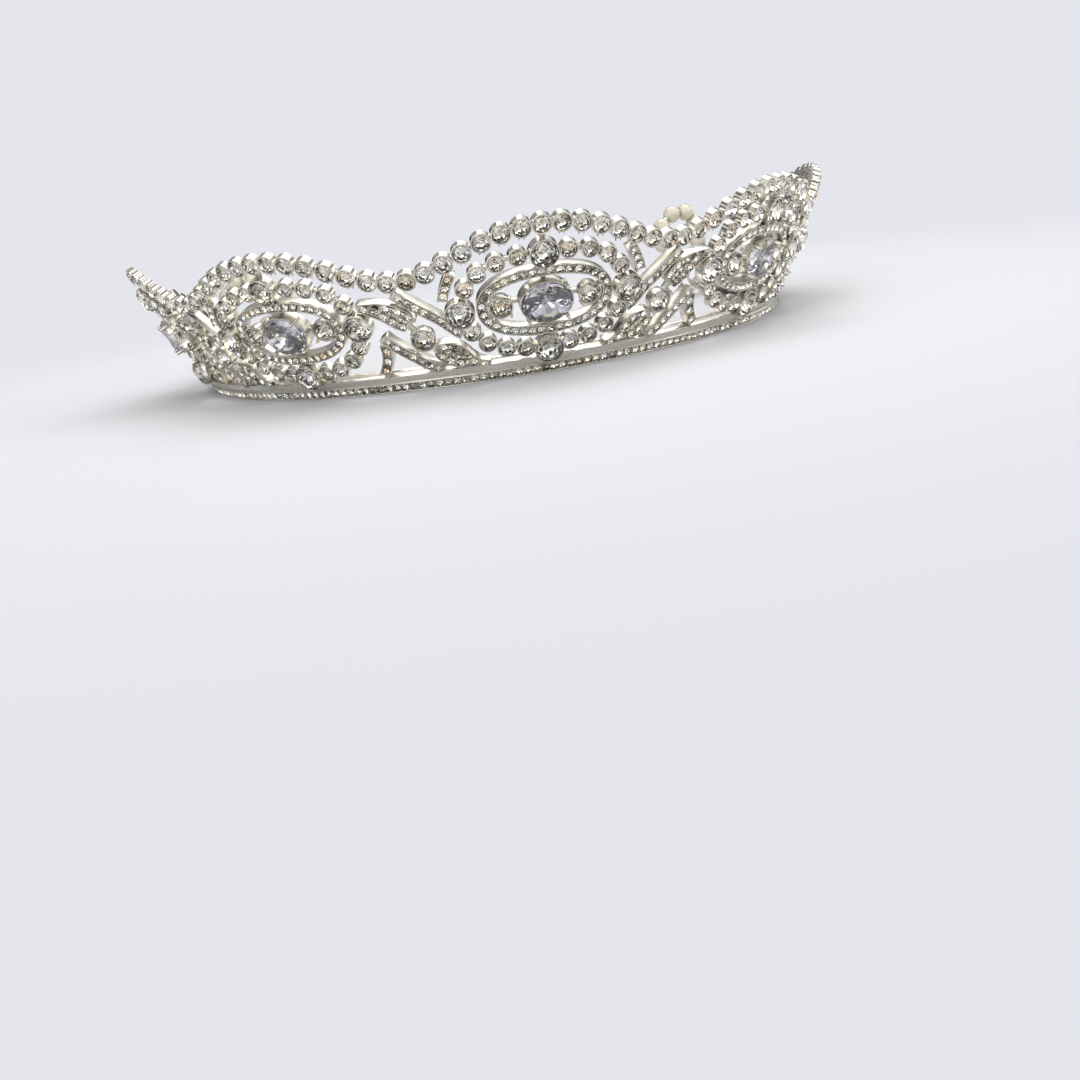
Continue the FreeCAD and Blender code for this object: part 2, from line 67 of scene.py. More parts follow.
def wallPoint(arc, rise, out):
    angle = arc / wall["baseRadius"]
    tilt = wall["flare"]
    radius = wall["baseRadius"] + rise * math.sin(tilt) + out * math.cos(tilt)
    height = rise * math.cos(tilt) - out * math.sin(tilt)
    return Vector((radius * math.sin(angle), -radius * math.cos(angle), height))


def basis(xAxis, yAxis, zAxis, origin):
    turn = Matrix((xAxis, yAxis, zAxis)).transposed().to_4x4()
    return Matrix.Translation(origin) @ turn


# small helpers for selecting and copying

smoothing = {"cast": math.radians(40), "round": math.radians(50), "bead": math.radians(60)}
merging = {"seats": 0.01 * mm, "castings": 0.002 * mm, "flat": math.radians(1.5), "bevelAngle": math.radians(38)}
facing = 0.9    # a face counts as an end face when its normal lies this close to the axis


def clearSelection():
    if bpy.context.object and bpy.context.object.mode != "OBJECT":
        bpy.ops.object.mode_set(mode="OBJECT")
    bpy.ops.object.select_all(action="DESELECT")


def selectOnly(pieces):
    clearSelection()
    for piece in pieces:
        piece.select_set(True)
    bpy.context.view_layer.objects.active = pieces[0]


def joined(pieces, name):
    selectOnly(pieces)
    if len(pieces) > 1:
        bpy.ops.object.join()
    piece = bpy.context.object
    piece.name = name
    piece.data.name = name
    return piece


def pickFaces(piece, test):
    bpy.ops.object.mode_set(mode="EDIT")
    bpy.ops.mesh.select_mode(type="FACE")
    bpy.ops.mesh.select_all(action="DESELECT")
    bpy.ops.object.mode_set(mode="OBJECT")
    for face in piece.data.polygons:
        face.select = test(face)
    bpy.ops.object.mode_set(mode="EDIT")


def roundEdges(piece, edge):
    selectOnly([piece])
    bevel = piece.modifiers.new("edge", "BEVEL")
    bevel.width = edge["width"]
    bevel.segments = edge["segments"]
    bevel.limit_method = "ANGLE"
    bevel.angle_limit = edge["angle"]
    bpy.ops.object.modifier_apply(modifier=bevel.name)
    bpy.ops.object.shade_smooth_by_angle(angle=smoothing["cast"])


def strew(pattern, places, name):
    copies = []
    for place in places:
        copy = bpy.data.objects.new(name, pattern.data.copy())
        copy.data.transform(place)
        if place.determinant() < 0:
            copy.data.flip_normals()
        bpy.context.collection.objects.link(copy)
        copies.append(copy)
    return joined(copies, name)


def discard(patterns):
    for pattern in patterns:
        bpy.data.objects.remove(pattern)


def seatsOf(node):
    # each loose part of a CAD node: the foot it stands on, its middle and its place on the wall
    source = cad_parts[node]
    whole = bpy.data.objects.new(node + "Seats", source.data.copy())
    bpy.context.collection.objects.link(whole)
    selectOnly([whole])
    bpy.ops.object.mode_set(mode="EDIT")
    bpy.ops.mesh.select_all(action="SELECT")
    bpy.ops.mesh.remove_doubles(threshold=merging["seats"])
    bpy.ops.mesh.separate(type="LOOSE")
    bpy.ops.object.mode_set(mode="OBJECT")
    seats = []
    for part in list(bpy.context.selected_objects):
        points = [vertex.co.copy() for vertex in part.data.vertices]
        middle = sum(points, Vector()) / len(points)
        arc = wallReading(middle)[0]
        along, up, outwards = wallDirections(arc)
        spans = []
        for axis in (along, up, outwards):
            reach = [point.dot(axis) for point in points]
            spans.append((min(reach), max(reach)))
        centre = [(low + high) / 2 for low, high in spans]
        foot = along * centre[0] + up * centre[1] + outwards * spans[2][0]
        box = [(min(p[i] for p in points) + max(p[i] for p in points)) / 2 for i in range(3)]
        arc, rise, out = wallReading(foot)
        seats.append({"foot": foot, "middle": Vector(box), "arc": arc, "rise": rise})
        bpy.data.objects.remove(part)
    seats.sort(key=lambda seat: (round(seat["arc"], 5), round(seat["rise"], 5)))
    return seats


def seatFrame(seat, spin=0.0):
    return basis(*wallDirections(seat["arc"]), seat["foot"]) @ Matrix.Rotation(spin, 4, "Z")


# shader node groups, shared by the finishes

# the hollow values set how strongly hollows are darkened with painted shade
skin = {"grainDetail": 4.0, "patchDetail": 3.0, "flat": 0.50, "hollow": 0.42, "edge": 0.58,
        "patchFrom": 0.40, "patchTo": 0.68, "hollowTarnish": 0.6, "patchHeight": 0.5,
        "lowHeight": 0.5, "highHeight": 1.0}


def nodeIn(tree, kind, **settings):
    node = tree.nodes.new(kind)
    for key, value in settings.items():
        setattr(node, key, value)
    return node


def feed(tree, node, **values):
    # sets a node's inputs by name: an output links, anything else is a plain value
    for label, value in values.items():
        socket = node.inputs[int(label[2:])] if label.startswith("in") else node.inputs[label.replace("_", " ")]
        if isinstance(value, bpy.types.NodeSocket):
            tree.links.new(value, socket)
        else:
            socket.default_value = value
    return node


def startGroup(name, inputs, outputs):
    group = bpy.data.node_groups.new(name, "ShaderNodeTree")
    for label, kind in inputs.items():
        group.interface.new_socket(label, in_out="INPUT", socket_type=kind)
    for label, kind in outputs.items():
        group.interface.new_socket(label, in_out="OUTPUT", socket_type=kind)
    return group, nodeIn(group, "NodeGroupInput"), nodeIn(group, "NodeGroupOutput")


def makePlatingGroup():
    # tarnish lies in random patches and painted shade darkens the hollows, edges are rubbed bright, and the skin
    # has a fine grain
    group, entry, leave = startGroup(
        "platingSkin",
        {"Coordinates": "NodeSocketVector", "Grain Scale": "NodeSocketFloat",
         "Patch Scale": "NodeSocketFloat", "Tarnish": "NodeSocketFloat"},
        {"Tarnish": "NodeSocketFloat", "Rubbed": "NodeSocketFloat", "Height": "NodeSocketFloat"})
    place = entry.outputs["Coordinates"]
    grain = feed(group, nodeIn(group, "ShaderNodeTexNoise"), Vector=place,
                 Scale=entry.outputs["Grain Scale"], Detail=skin["grainDetail"])
    patch = feed(group, nodeIn(group, "ShaderNodeTexNoise"), Vector=place,
                 Scale=entry.outputs["Patch Scale"], Detail=skin["patchDetail"])
    shape = nodeIn(group, "ShaderNodeNewGeometry")
    # painted shade: faces in hollows, where pointiness is low, are darkened as if shade gathered there
    hollow = feed(group, nodeIn(group, "ShaderNodeMapRange"), Value=shape.outputs["Pointiness"],
                  From_Min=skin["flat"], From_Max=skin["hollow"], To_Min=0.0, To_Max=1.0)
    rubbed = feed(group, nodeIn(group, "ShaderNodeMapRange"), Value=shape.outputs["Pointiness"],
                  From_Min=skin["flat"], From_Max=skin["edge"], To_Min=0.0, To_Max=1.0)
    spread = feed(group, nodeIn(group, "ShaderNodeMapRange"), Value=patch.outputs["Fac"],
                  From_Min=skin["patchFrom"], From_Max=skin["patchTo"], To_Min=0.0, To_Max=1.0)
    stained = feed(group, nodeIn(group, "ShaderNodeMath", operation="MULTIPLY"),
                   in0=spread.outputs["Result"], in1=entry.outputs["Tarnish"])
    # the Tarnish output carries the tarnish patches together with the painted hollow shade
    both = feed(group, nodeIn(group, "ShaderNodeMath", operation="MULTIPLY_ADD", use_clamp=True),
                in0=hollow.outputs["Result"], in1=skin["hollowTarnish"], in2=stained.outputs[0])
    height = feed(group, nodeIn(group, "ShaderNodeMath", operation="MULTIPLY_ADD"),
                  in0=patch.outputs["Fac"], in1=skin["patchHeight"], in2=grain.outputs["Fac"])
    feed(group, leave, Tarnish=both.outputs[0], Rubbed=rubbed.outputs["Result"], Height=height.outputs[0])
    return group


def makeFacetGroup():
    # random cells on a cut stone's back: the foil paints each cell as a dark or bright reflection of the room, and
    # the glass takes a slight random tint from them
    group, entry, leave = startGroup(
        "facetMosaic",
        {"Coordinates": "NodeSocketVector", "Facet Scale": "NodeSocketFloat", "Tint Scale": "NodeSocketFloat"},
        {"Facet": "NodeSocketFloat", "Tint": "NodeSocketFloat"})
    place = entry.outputs["Coordinates"]
    cell = feed(group, nodeIn(group, "ShaderNodeTexVoronoi"), Vector=place, Scale=entry.outputs["Facet Scale"])
    pick = feed(group, nodeIn(group, "ShaderNodeSeparateColor"), Color=cell.outputs["Color"])
    tint = feed(group, nodeIn(group, "ShaderNodeTexVoronoi"), Vector=place, Scale=entry.outputs["Tint Scale"])
    shade = feed(group, nodeIn(group, "ShaderNodeSeparateColor"), Color=tint.outputs["Color"])
    feed(group, leave, Facet=pick.outputs[0], Tint=shade.outputs[1])
    return group


platingSkin = makePlatingGroup()
facetMosaic = makeFacetGroup()


def makeRamp(tree, source, stops):
    node = nodeIn(tree, "ShaderNodeValToRGB")
    ramp = node.color_ramp
    ramp.elements[0].position, ramp.elements[0].color = stops[0][0], (*stops[0][1], 1)
    ramp.elements[1].position, ramp.elements[1].color = stops[-1][0], (*stops[-1][1], 1)
    for position, color in stops[1:-1]:
        ramp.elements.new(position).color = (*color, 1)
    tree.links.new(source, node.inputs["Fac"])
    return node


def startMaterial(name, scale=(1, 1, 1)):
    material = bpy.data.materials.new(name)
    material.use_nodes = True
    tree = material.node_tree
    coordinates = nodeIn(tree, "ShaderNodeTexCoord")
    mapping = feed(tree, nodeIn(tree, "ShaderNodeMapping"), Vector=coordinates.outputs["Object"], Scale=scale)
    return material, tree, tree.nodes["Principled BSDF"], mapping.outputs["Vector"]


platings = {
    "castPlating": {"bright": (0.70, 0.675, 0.61), "tarnishAndShade": (0.30, 0.28, 0.23),
                    "polished": 0.20, "rough": (0.27, 0.46),
                    "grain": 5200.0, "patch": 330.0, "tarnish": 0.45, "bump": 0.018 * mm, "scale": (1, 1, 1)},
    "bandPlating": {"bright": (0.66, 0.64, 0.58), "tarnishAndShade": (0.33, 0.31, 0.26),
                    "polished": 0.18, "rough": (0.22, 0.40),
                    "grain": 2400.0, "patch": 260.0, "tarnish": 0.35, "bump": 0.01 * mm, "scale": (0.3, 0.3, 3.2)},
    "wirePlating": {"bright": (0.80, 0.78, 0.72), "tarnishAndShade": (0.42, 0.40, 0.34),
                    "polished": 0.12, "rough": (0.16, 0.30),
                    "grain": 3600.0, "patch": 420.0, "tarnish": 0.30, "bump": 0.006 * mm, "scale": (1, 1, 1)},
}


def skinOn(tree, place, look):
    return feed(tree, nodeIn(tree, "ShaderNodeGroup", node_tree=platingSkin), Coordinates=place,
                Grain_Scale=look["grain"], Patch_Scale=look["patch"], Tarnish=look["tarnish"])


def roughFromHeight(tree, cover, look):
    return feed(tree, nodeIn(tree, "ShaderNodeMapRange"), Value=cover.outputs["Height"],
                From_Min=skin["lowHeight"], From_Max=skin["highHeight"],
                To_Min=look["rough"][0], To_Max=look["rough"][1])


def makePlating(name):
    look = platings[name]
    material, tree, shader, place = startMaterial(name, look["scale"])
    cover = skinOn(tree, place, look)
    # the metal turns darker in tarnish patches and, as painted shade, in its hollows
    tint = makeRamp(tree, cover.outputs["Tarnish"], [(0.0, look["bright"]), (1.0, look["tarnishAndShade"])])
    rough = roughFromHeight(tree, cover, look)
    worn = feed(tree, nodeIn(tree, "ShaderNodeMix", data_type="FLOAT"), in0=cover.outputs["Rubbed"],
                in2=rough.outputs["Result"], in3=look["polished"])
    bump = feed(tree, nodeIn(tree, "ShaderNodeBump"), Height=cover.outputs["Height"], Distance=look["bump"])
    feed(tree, shader, Base_Color=tint.outputs["Color"], Metallic=1.0,
         Roughness=worn.outputs[0], Normal=bump.outputs["Normal"])
    return material


# painted reflections: each foil's ramp paints its cells dark or bright as if they mirrored the room, with painted
# glints of orange, blue and yellow fire
foils = {
    "crystalFoil": {"facet": 1150.0, "tint": 160.0, "rough": 0.02, "metal": 0.94,
                    "facets": [(0.0, (0.13, 0.11, 0.09)), (0.14, (0.42, 0.38, 0.32)), (0.27, (0.86, 0.84, 0.79)),
                               (0.50, (1.0, 0.99, 0.96)), (0.94, (1.0, 1.0, 0.99)), (0.965, (1.0, 0.74, 0.44)),
                               (1.0, (0.84, 0.92, 1.0))],
                    "tints": [(0.0, (1.0, 0.96, 0.87)), (0.5, (1.0, 0.99, 0.96)), (1.0, (0.96, 0.98, 1.0))]},
    "ovalFoil": {"facet": 620.0, "tint": 300.0, "rough": 0.015, "metal": 0.88,
                 "facets": [(0.0, (0.30, 0.29, 0.31)), (0.12, (0.62, 0.61, 0.64)), (0.30, (0.92, 0.91, 0.94)),
                            (0.80, (1.0, 0.99, 1.0)), (0.95, (0.98, 0.93, 0.62)), (1.0, (1.0, 1.0, 1.0))],
                 "tints": [(0.0, (0.95, 0.94, 0.99)), (0.5, (1.0, 1.0, 1.0)), (1.0, (0.95, 0.95, 1.0))]},
}


def makeFoil(name):
    look = foils[name]
    material, tree, shader, place = startMaterial(name)
    mosaic = feed(tree, nodeIn(tree, "ShaderNodeGroup", node_tree=facetMosaic), Coordinates=place,
                  Facet_Scale=look["facet"], Tint_Scale=look["tint"])
    # painted reflection: each cell of the stone's back gets a dark or bright shade from this ramp
    facets = makeRamp(tree, mosaic.outputs["Facet"], look["facets"])
    tints = makeRamp(tree, mosaic.outputs["Tint"], look["tints"])
    both = feed(tree, nodeIn(tree, "ShaderNodeMix", data_type="RGBA", blend_type="MULTIPLY"),
                in0=1.0, in6=facets.outputs["Color"], in7=tints.outputs["Color"])
    feed(tree, shader, Base_Color=both.outputs[2], Metallic=look["metal"], Roughness=look["rough"])
    return material


glasses = {
    "crystalGlass": {"ior": 1.6, "tint": 170.0, "tints": [(0.0, (1.0, 0.985, 0.94)), (1.0, (0.99, 0.995, 1.0))]},
    "ovalGlass": {"ior": 1.9, "tint": 240.0, "tints": [(0.0, (0.97, 0.96, 1.0)), (1.0, (1.0, 1.0, 1.0))]},
}


def makeGlass(name):
    look = glasses[name]
    material, tree, shader, place = startMaterial(name)
    mosaic = feed(tree, nodeIn(tree, "ShaderNodeGroup", node_tree=facetMosaic), Coordinates=place,
                  Facet_Scale=look["tint"], Tint_Scale=look["tint"])
    tints = makeRamp(tree, mosaic.outputs["Facet"], look["tints"])
    feed(tree, shader, Base_Color=tints.outputs["Color"], Roughness=0.0, IOR=look["ior"], Transmission_Weight=1.0)
    return material


nacre = {"ivory": (0.64, 0.61, 0.50), "olive": (0.50, 0.475, 0.36), "rim": (0.40, 0.385, 0.30),
         "rough": (0.20, 0.36), "patch": 300.0, "grain": 2600.0, "tarnish": 0.8, "rimBlend": 0.35,
         "bump": 0.012 * mm, "coat": 0.6, "coatRough": 0.1, "depth": 0.12, "depthScale": 1.0 * mm}


def makeNacre():
    material, tree, shader, place = startMaterial("pearlNacre")
    cover = skinOn(tree, place, nacre)
    # the pearl turns olive in tarnish patches and, as painted shade, in its drilled hollows
    body = makeRamp(tree, cover.outputs["Tarnish"], [(0.0, nacre["ivory"]), (1.0, nacre["olive"])])
    # painted shade: the colour turns darker towards the pearl's outline as the lens sees it
    rim = feed(tree, nodeIn(tree, "ShaderNodeLayerWeight"), Blend=nacre["rimBlend"])
    edge = feed(tree, nodeIn(tree, "ShaderNodeMix", data_type="RGBA"), in0=rim.outputs["Facing"],
                in6=body.outputs["Color"], in7=(*nacre["rim"], 1))
    rough = roughFromHeight(tree, cover, nacre)
    bump = feed(tree, nodeIn(tree, "ShaderNodeBump"), Height=cover.outputs["Height"], Distance=nacre["bump"])
    feed(tree, shader, Base_Color=edge.outputs[2], Roughness=rough.outputs["Result"],
         Normal=bump.outputs["Normal"], Coat_Weight=nacre["coat"], Coat_Roughness=nacre["coatRough"],
         Subsurface_Weight=nacre["depth"], Subsurface_Scale=nacre["depthScale"])
    return material


castPlating = makePlating("castPlating")
bandPlating = makePlating("bandPlating")
wirePlating = makePlating("wirePlating")
crystalFoil = makeFoil("crystalFoil")
ovalFoil = makeFoil("ovalFoil")
crystalGlass = makeGlass("crystalGlass")
ovalGlass = makeGlass("ovalGlass")
pearlNacre = makeNacre()
print("finishes made")


# patterns: each is modelled once at the origin, facing +Z, and copied to its seats

def startCylinder(name, sides, radius, bottom, top):
    clearSelection()
    bpy.ops.mesh.primitive_cylinder_add(vertices=sides, radius=radius, depth=top - bottom,
                                        location=(0, 0, (top + bottom) / 2))
    bpy.ops.object.transform_apply(location=True, rotation=True, scale=True)
    piece = bpy.context.object
    piece.name = name
    return piece


def raiseRings(piece, steps, down=False):
    # the end face goes up or down in steps of (rise, scale, turn in radians)
    sign = -1 if down else 1
    pickFaces(piece, lambda face: face.normal.z * sign > facing)
    for rise, scale, turn in steps:
        bpy.ops.mesh.extrude_region_move(TRANSFORM_OT_translate={"value": (0, 0, sign * rise)})
        bpy.ops.transform.resize(value=(scale, scale, 1), center_override=(0, 0, 0))
        if turn:
            bpy.ops.transform.rotate(value=turn, orient_axis="Z", center_override=(0, 0, 0))
    bpy.ops.object.mode_set(mode="OBJECT")


def setMaterials(piece, materials, pick=None):
    piece.data.materials.clear()
    for material in materials:
        piece.data.materials.append(material)
    for face in piece.data.polygons:
        face.material_index = pick(face) if pick else 0


girdle = {"height": 0.05, "foilBelow": 0.98}    # parts of the diameter and of the girdle's foot


def cutStone(name, cut, glass, foil):
    # crownSteps and backSteps are (part of the height, scale, turn in half facets)
    radius = cut["diameter"] / 2
    foot = cut["pavilion"] * cut["diameter"]
    shoulder = foot + girdle["height"] * cut["diameter"]
    half = math.pi / cut["sides"]
    stone = startCylinder(name, cut["sides"], radius, foot, shoulder)
    crown = cut["crown"] * cut["diameter"]
    raiseRings(stone, [(crown * rise, scale, half * turn) for rise, scale, turn in cut["crownSteps"]])
    raiseRings(stone, [(foot * rise, scale, half * turn) for rise, scale, turn in cut["backSteps"]], down=True)
    bpy.ops.object.mode_set(mode="EDIT")
    bpy.ops.mesh.select_all(action="SELECT")
    bpy.ops.mesh.quads_convert_to_tris(quad_method="SHORTEST_DIAGONAL")
    bpy.ops.mesh.normals_make_consistent(inside=False)
    bpy.ops.object.mode_set(mode="OBJECT")
    if cut.get("flatten"):
        stone.data.transform(Matrix.Diagonal((1, cut["flatten"], 1, 1)))
    setMaterials(stone, [glass, foil], lambda face: 1 if face.center.z < foot * girdle["foilBelow"] else 0)
    return stone


smallCut = {"sides": 8, "pavilion": 0.275, "crown": 0.15, "crownSteps": [(0.5, 0.82, 1), (0.5, 0.72, 1)],
            "backSteps": [(1.0, 0.1, 0)]}
largeCut = {"sides": 8, "pavilion": 0.275, "crown": 0.15, "crownSteps": [(0.5, 0.83, 1), (0.5, 0.70, 1)],
            "backSteps": [(0.45, 0.60, 1), (0.55, 0.12, 1)]}
paveCut = {"sides": 6, "pavilion": 0.275, "crown": 0.15, "crownSteps": [(1.0, 0.6, 1)],
           "backSteps": [(1.0, 0.12, 0)]}
ovalCut = {"sides": 14, "pavilion": 0.2, "crown": 0.09, "crownSteps": [(0.5, 0.84, 1), (0.5, 0.72, 1)],
           "backSteps": [(0.35, 0.74, 1), (0.35, 0.55, 1), (0.30, 0.2, 1)], "flatten": 9.0 / 11.0}


def sinkFace(depth):
    bpy.ops.mesh.extrude_region_move(TRANSFORM_OT_translate={"value": (0, 0, -depth)})


# parts of the wall, apart from back (of the radius) and lineRise (of the step)
cupRim = {"soft": 0.3, "flat": 0.7, "line": 0.4, "groove": 0.2, "lineRise": 0.7, "rest": 0.4, "back": 0.86}


def roundCup(name, cup):
    # a stone's foot stands on the floor at z = 0, and the rim is above it
    outer = cup["inner"] + cup["wall"]
    piece = startCylinder(name, cup["sides"], outer, cup["rim"] - cup["depth"], cup["rim"] - cup["soft"])
    raiseRings(piece, [(cup["soft"], 1 - cupRim["soft"] * cup["wall"] / outer, 0)])
    raiseRings(piece, [(0.0, cupRim["back"], 0)], down=True)
    pickFaces(piece, lambda face: face.normal.z > facing)
    wall = cupRim["flat"] * cup["wall"]
    if cup.get("step"):
        # a second thin line inside the rim
        bpy.ops.mesh.inset(thickness=cupRim["line"] * wall)
        sinkFace(cup["step"])
        bpy.ops.mesh.inset(thickness=cupRim["groove"] * wall)
        sinkFace(-cupRim["lineRise"] * cup["step"])
        wall = cupRim["rest"] * wall
    bpy.ops.mesh.inset(thickness=wall)
    sinkFace(cup["rim"])
    bpy.ops.object.mode_set(mode="OBJECT")
    bpy.ops.object.shade_smooth_by_angle(angle=smoothing["cast"])
    return piece


def studPiece(name, look, steps, smooth):
    # a small round stud that narrows towards its tip
    piece = startCylinder(name, look["sides"], look["radius"], 0, look["height"])
    raiseRings(piece, steps)
    bpy.ops.object.shade_smooth_by_angle(angle=smooth)
    return piece


grainTip = [(0.55, 0.8), (0.3, 0.5)]    # parts of the radius, and scale


def grain(name, look):
    steps = [(rise * look["radius"], scale, 0) for rise, scale in grainTip]
    return studPiece(name, look, steps, smoothing["bead"])


def webBar(name, look):
    # a flat cast web of oval section, one unit long from z = 0
    piece = startCylinder(name, look["sides"], 1, 0, 1)
    piece.data.transform(Matrix.Diagonal((look["thick"], look["tall"], 1, 1)))
    bpy.ops.object.shade_smooth_by_angle(angle=smoothing["round"])
    return piece


def spanFrame(start, end, outwards):
    run = end - start
    ahead = run.normalized()
    side = outwards.cross(ahead).normalized()
    place = basis(ahead.cross(side), side, ahead, start)
    return place @ Matrix.Diagonal((1, 1, run.length, 1))


def placeOnBody(piece, body, replaced, materials=None):
    if materials:
        setMaterials(piece, materials)
    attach(piece, body)
    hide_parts(*replaced)
    return piece


def softened(node, name, edge):
    # a copy of a casting whose sharp edges get a small rounding that catches the light
    copy = bpy.data.objects.new(name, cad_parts[node].data.copy())
    copy.data.name = name
    bpy.context.collection.objects.link(copy)
    selectOnly([copy])
    bpy.ops.object.mode_set(mode="EDIT")
    bpy.ops.mesh.select_all(action="SELECT")
    bpy.ops.mesh.remove_doubles(threshold=merging["castings"])
    bpy.ops.mesh.dissolve_limited(angle_limit=merging["flat"])
    bpy.ops.object.mode_set(mode="OBJECT")
    roundEdges(copy, edge)
    return copy


# stones: seats are read from the CAD stones, and each is turned at random in its cup

random.seed(11)
crystal = (crystalGlass, crystalFoil, "clear_crystal")
ovalCrystal = (ovalGlass, ovalFoil, "oval_crystal")
# cut, diameter, make-up, and the most that a stone leans, in degrees
stonePlans = {
    "garland_stones": (smallCut, 3.75 * mm, crystal, 3.0),
    "wreath_stones": (smallCut, 3.45 * mm, crystal, 3.0),
    "accent_stones": (largeCut, 5.9 * mm, crystal, 2.0),
    "flank_stones": (largeCut, 4.6 * mm, crystal, 2.0),
    "connector_stones": (largeCut, 4.9 * mm, crystal, 2.0),
    "motif_pave_stones": (paveCut, 1.8 * mm, crystal, 0.0),
    "connector_pave_stones": (paveCut, 1.8 * mm, crystal, 0.0),
    "band_stones": (paveCut, 1.8 * mm, crystal, 0.0),
    "oval_stones": (ovalCut, 11.0 * mm, ovalCrystal, 0.0),
}
seats = {}
for node, (cut, diameter, (glass, foil, slotName), tiltDegrees) in stonePlans.items():
    seats[node] = seatsOf(node)
    pattern = cutStone(node + "Pattern", dict(cut, diameter=diameter), glass, foil)
    places = []
    for seat in seats[node]:
        spin = 0.0 if node == "oval_stones" else random.uniform(0, math.tau)
        tilt = math.radians(random.uniform(-tiltDegrees, tiltDegrees))
        places.append(seatFrame(seat, spin=spin) @ Matrix.Rotation(tilt, 4, "X"))
    stones = strew(pattern, places, node.replace("_stones", "") + "Stones")
    discard([pattern])
    placeOnBody(stones, "tiara", [node])
    print(stones.name, "set:", len(places))


# cups, bezels and webs of the garland and the wreaths

cupPlans = {
    "garland_stones": {"sides": 16, "inner": 1.90 * mm, "wall": 0.31 * mm, "rim": 1.155 * mm, "depth": 1.8 * mm,
                       "soft": 0.07 * mm},
    "wreath_stones": {"sides": 16, "inner": 1.75 * mm, "wall": 0.30 * mm, "rim": 1.056 * mm, "depth": 1.8 * mm,
                      "soft": 0.07 * mm},
    "accent_stones": {"sides": 28, "inner": 2.98 * mm, "wall": 0.27 * mm, "rim": 1.947 * mm, "depth": 2.4 * mm,
                      "soft": 0.06 * mm, "step": 0.10 * mm},
}
web = {"sides": 10, "thick": 0.45 * mm, "tall": 0.72 * mm, "out": -1.35 * mm}
spike = {"sides": 6, "radius": 0.20 * mm, "height": 0.35 * mm, "tip": (0.45 * mm, 0.55, 0), "apart": 0.55 * mm,
         "out": -0.9 * mm, "below": 2.1 * mm}
cups = {node: roundCup(node + "Cup", plan) for node, plan in cupPlans.items()}
webPattern = webBar("webPattern", web)
spikePattern = studPiece("spikePattern", spike, [spike["tip"]], smoothing["round"])


def webPlaces(row):
    places = []
    for before, after in zip(row, row[1:]):
        start = wallPoint(before["arc"], before["rise"], web["out"])
        end = wallPoint(after["arc"], after["rise"], web["out"])
        middle = (before["arc"] + after["arc"]) / 2
        places.append(spanFrame(start, end, wallDirections(middle)[2]))
    return places


def motifSeats(node, motif):
    pitch = wall["motifPitch"]
    chosen = [seat for seat in seats[node] if abs(seat["arc"] - motif * pitch) < pitch / 2]
    return sorted(chosen, key=lambda seat: seat["arc"])


motifPlan = {"ovalRise": 17.5 * mm, "stemRise": 31.2 * mm, "garlandReach": 26 * mm, "ringStretch": 1.5}
for motif, motifName in motifNames.items():
    middle = motif * wall["motifPitch"]
    row = [seat for seat in motifSeats("garland_stones", motif)
           if abs(seat["arc"] - middle) < motifPlan["garlandReach"]]
    joint = {"arc": middle + wall["motifPitch"] / 2, "rise": row[-1]["rise"]}
    entry = {"arc": middle - wall["motifPitch"] / 2, "rise": row[0]["rise"]}
    top = row[len(row) // 2]
    stem = {"arc": top["arc"], "rise": motifPlan["stemRise"]}
    accents = motifSeats("accent_stones", motif)
    pieces = [strew(cups["garland_stones"], [seatFrame(seat) for seat in row], "garlandCups"),
              strew(webPattern, webPlaces([entry] + row + [joint]) + webPlaces([stem, top]), "garlandWebs")]
    sprues = []
    for seat in row[2:-2]:
        along, up, outwards = wallDirections(seat["arc"])
        for side in (-1, 1):
            foot = wallPoint(seat["arc"], seat["rise"], spike["out"]) - up * spike["below"]
            foot += along * side * spike["apart"]
            sprues.append(basis(outwards, along, -up, foot))
    pieces.append(strew(spikePattern, sprues, "garlandSprues"))
    placeOnBody(joined(pieces, "garlandCups_" + motifName), "tiara",
                ["garland_" + motifName], [castPlating])
    small = motifSeats("wreath_stones", motif)
    ring = small + accents
    ring.sort(key=lambda seat: math.atan2((seat["rise"] - motifPlan["ovalRise"]) * motifPlan["ringStretch"],
                                          seat["arc"] - middle))
    pieces = [strew(cups["wreath_stones"], [seatFrame(seat) for seat in small], "wreathCups"),
              strew(cups["accent_stones"], [seatFrame(seat) for seat in accents], "accentBezels"),
              strew(webPattern, webPlaces(ring + ring[:1]), "wreathWebs")]
    placeOnBody(joined(pieces, "wreathCups_" + motifName), "tiara",
                ["wreath_" + motifName], [castPlating])
discard(list(cups.values()) + [webPattern, spikePattern])
print("garlands and wreaths built")


# castings that keep their CAD shape, with softened edges

castEdge = {"width": 0.06 * mm, "segments": 2, "angle": merging["bevelAngle"]}
bandEdge = {"width": 0.08 * mm, "segments": 2, "angle": merging["bevelAngle"]}
castings = {}
for motifName in motifNames.values():
    castings["oval_frame_" + motifName] = "ovalFrame_" + motifName
    castings["center_setting_" + motifName] = "centerSetting_" + motifName
    castings["arch_strips_" + motifName] = "archStrips_" + motifName
for connectorName in connectorNames:
    castings["leaves_" + connectorName] = "leaves." + connectorName
    castings["ribbon_" + connectorName] = "ribbonStrip_" + connectorName
    castings["brace_" + connectorName] = "braceStrips_" + connectorName
for side in ("left", "right"):
    castings["end_piece_" + side] = "endCasting_" + side
    castings["end_strips_" + side] = "endStrips." + side
for node, name in castings.items():
    placeOnBody(softened(node, name, castEdge), "tiara", [node], [castPlating])
placeOnBody(softened("base_band", "baseBand", bandEdge), "tiara", ["base_band"], [bandPlating])
print("castings softened:", len(castings) + 1)


# small grains that hold the pave stones, and small stones that fill the leaves

paveGrain = {"sides": 6, "radius": 0.20 * mm, "height": 0.42 * mm, "across": 0.66 * mm, "near": 2.35 * mm,
             "clear": 0.93 * mm, "lift": 0.03 * mm}
grainPattern = grain("grainPattern", paveGrain)


